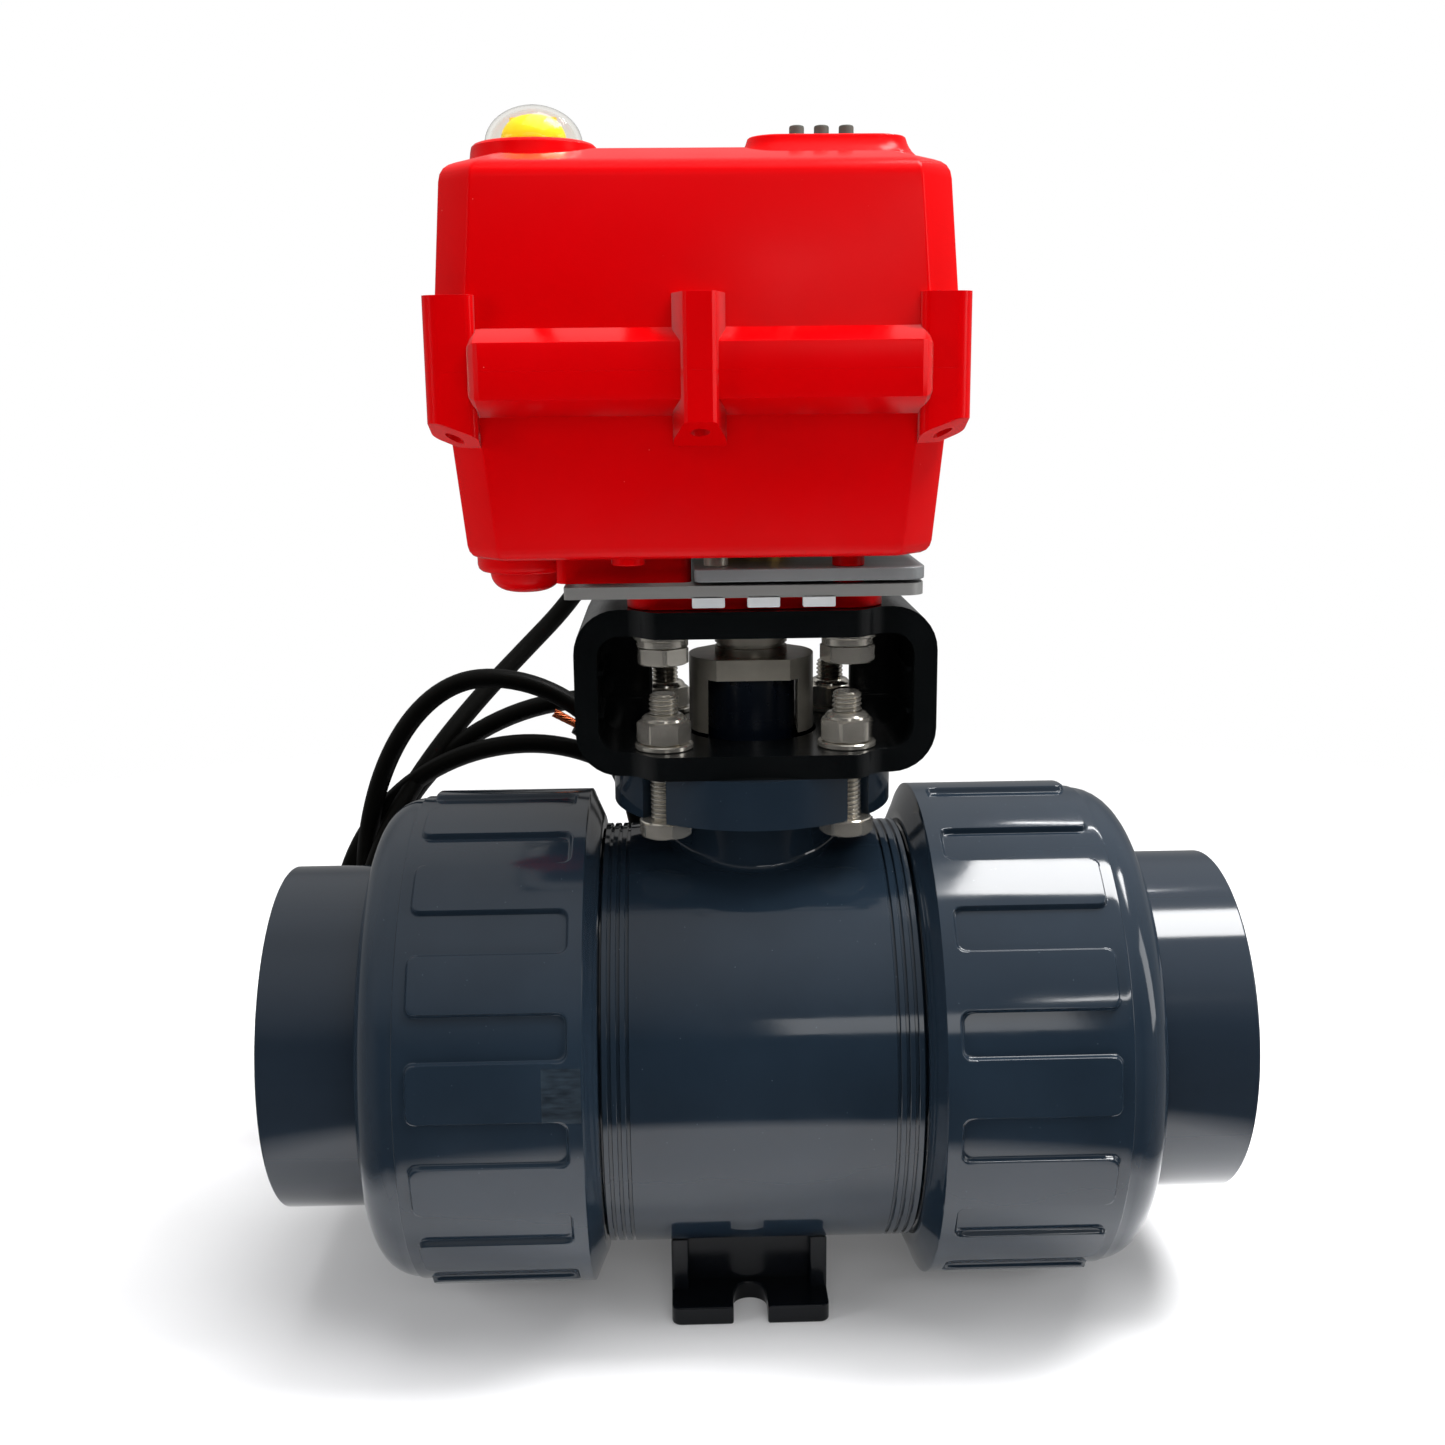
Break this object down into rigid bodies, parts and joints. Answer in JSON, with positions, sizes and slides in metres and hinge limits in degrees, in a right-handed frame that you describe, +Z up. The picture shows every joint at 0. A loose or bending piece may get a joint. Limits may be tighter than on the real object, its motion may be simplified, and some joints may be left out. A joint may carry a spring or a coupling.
{
  "type": "motorized valve actuator",
  "caption": "Electric quarter-turn actuator on a bracket and union-ended plastic ball valve, with a trailing supply cable.",
  "frame": {"origin": "ground level below the stem axis, at the middle of the valve", "axes": "+Z up along the stem, X along the pipe, -Y towards the front of the actuator"},
  "size_m": [0.2795, 0.2033, 0.3322],
  "materials": {
    "pvc_grey": "glossy moulded",
    "pvc_stem": "satin moulded",
    "foot_black": "satin moulded",
    "bracket_black": "satin glass-filled",
    "case_red": "glossy moulded",
    "stainless": "machined",
    "bright_steel": "satin",
    "plate_grey": "matt",
    "seat_white": "waxy",
    "seal_rubber": "matt",
    "clear_dome": "clear moulded",
    "indicator_yellow": "bright moulded",
    "button_grey": "soft",
    "gland_black": "nylon",
    "cable_black": "semi-gloss sheath",
    "copper": "bare strands",
    "gear_brass": "cut",
    "gear_nylon": "natural nylon",
    "motor_can": "zinc plated",
    "board_green": "solder resist",
    "terminal_green": "moulded",
    "switch_black": "moulded"
  },
  "bodies": {
    "valve": {"valve_body": "pvc_grey", "base_foot": "foot_black", "ball_seat_left": "seat_white", "ball_seat_right": "seat_white", "seat_carrier": "pvc_grey", "carrier_seal": "seal_rubber", "face_seals": "seal_rubber", "mounting_bracket": "bracket_black", "flange_bolt_1": "stainless", "flange_bolt_2": "stainless", "flange_bolt_3": "stainless", "flange_bolt_4": "stainless", "flange_nuts": "stainless", "bolt_washers": "stainless", "bracket_bolt_1": "stainless", "bracket_bolt_2": "stainless", "bracket_bolt_3": "stainless", "bracket_bolt_4": "stainless", "spacer_pad": "case_red", "lower_plate": "bright_steel", "upper_plate": "plate_grey", "plate_pillars": "bright_steel", "lower_housing": "case_red", "cover_gasket": "seal_rubber", "conduit_plug": "case_red", "cable_gland": "gland_black", "motor": "motor_can", "gear_axles": "bright_steel", "gear_plate": "bright_steel", "shaft_bush": "gear_brass", "limit_switches": "switch_black", "control_board": "board_green", "terminal_block": "terminal_green", "cable_lead": "cable_black", "cable_coil": "cable_black", "wire_ends": "copper"},
    "turning": {"ball": "pvc_grey", "valve_stem": "pvc_stem", "stem_seals": "seal_rubber", "stem_coupling": "stainless", "output_shaft": "bright_steel", "output_gear": "gear_brass", "indicator_drive_gear": "gear_nylon", "limit_cams": "gear_nylon"},
    "second_wheel": {"second_wheel": "gear_brass"},
    "first_wheel": {"first_wheel": "gear_nylon"},
    "motor_pinion": {"motor_pinion": "gear_brass"},
    "indicator_idler": {"indicator_idler": "gear_nylon"},
    "indicator": {"indicator_shaft": "gear_nylon", "indicator_knob": "indicator_yellow"},
    "cover": {"upper_cover": "case_red", "cover_screws": "stainless", "indicator_dome": "clear_dome"},
    "button_1": {"button_1": "button_grey"},
    "button_2": {"button_2": "button_grey"},
    "button_3": {"button_3": "button_grey"},
    "connector_left": {"end_connector_left": "pvc_grey"},
    "nut_left": {"union_nut_left": "pvc_grey"},
    "connector_right": {"end_connector_right": "pvc_grey"},
    "nut_right": {"union_nut_right": "pvc_grey"}
  },
  "joints": [
    {"name": "output_turn", "type": "hinge", "parent": "valve", "child": "turning", "pos_m": [0, 0, 0.2], "axis": [0, 0, 1], "range_deg": [0, 90]},
    {"name": "second_wheel_turn", "type": "hinge", "parent": "valve", "child": "second_wheel", "pos_m": [-0.03263, 0.01521, 0.236], "axis": [0, 0, 1], "range_deg": [-270.5, 0]},
    {"name": "first_wheel_turn", "type": "hinge", "parent": "valve", "child": "first_wheel", "pos_m": [-0.03784, -0.01433, 0.242], "axis": [0, 0, 1], "range_deg": [0, 1081]},
    {"name": "motor_turn", "type": "hinge", "parent": "valve", "child": "motor_pinion", "pos_m": [-0.01384, -0.02875, 0.244], "axis": [0, 0, 1], "range_deg": [-3961, 0]},
    {"name": "indicator_idler_turn", "type": "hinge", "parent": "valve", "child": "indicator_idler", "pos_m": [-0.03213, 0.00283, 0.253], "axis": [0, 0, 1], "range_deg": [-53.5, 0]},
    {"name": "indicator_turn", "type": "hinge", "parent": "valve", "child": "indicator", "pos_m": [-0.055, -0.0199, 0.3], "axis": [0, 0, 1], "range_deg": [0, 90.1]},
    {"name": "cover_lift", "type": "slide", "parent": "valve", "child": "cover", "axis": [0, 0, 1], "range_m": [0, 0.12]},
    {"name": "button_1_press", "type": "slide", "parent": "cover", "child": "button_1", "axis": [0, 0, -1], "range_m": [0, 0.001], "stiffness_N_per_m": 300, "springref_m": -0.002},
    {"name": "button_2_press", "type": "slide", "parent": "cover", "child": "button_2", "axis": [0, 0, -1], "range_m": [0, 0.001], "stiffness_N_per_m": 300, "springref_m": -0.002},
    {"name": "button_3_press", "type": "slide", "parent": "cover", "child": "button_3", "axis": [0, 0, -1], "range_m": [0, 0.001], "stiffness_N_per_m": 300, "springref_m": -0.002},
    {"name": "left_connector_slide", "type": "slide", "parent": "valve", "child": "connector_left", "axis": [-1, 0, 0], "range_m": [0, 0.0181]},
    {"name": "left_nut_turn", "type": "hinge", "parent": "connector_left", "child": "nut_left", "pos_m": [-0.075, 0, 0.076], "axis": [-1, 0, 0], "range_deg": [0, 1080]},
    {"name": "right_connector_slide", "type": "slide", "parent": "valve", "child": "connector_right", "axis": [1, 0, 0], "range_m": [0, 0.0181]},
    {"name": "right_nut_turn", "type": "hinge", "parent": "connector_right", "child": "nut_right", "pos_m": [0.075, 0, 0.076], "axis": [1, 0, 0], "range_deg": [0, 1080]}
  ],
  "couplings": [
    {"joint": "second_wheel_turn", "follows": "output_turn", "ratio": -3},
    {"joint": "first_wheel_turn", "follows": "output_turn", "ratio": 12},
    {"joint": "motor_turn", "follows": "output_turn", "ratio": -44},
    {"joint": "indicator_idler_turn", "follows": "output_turn", "ratio": -0.59259},
    {"joint": "indicator_turn", "follows": "output_turn", "ratio": 1},
    {"joint": "left_connector_slide", "follows": "left_nut_turn", "m_per_rad": 0.00095493},
    {"joint": "right_connector_slide", "follows": "right_nut_turn", "m_per_rad": 0.00095493}
  ]
}
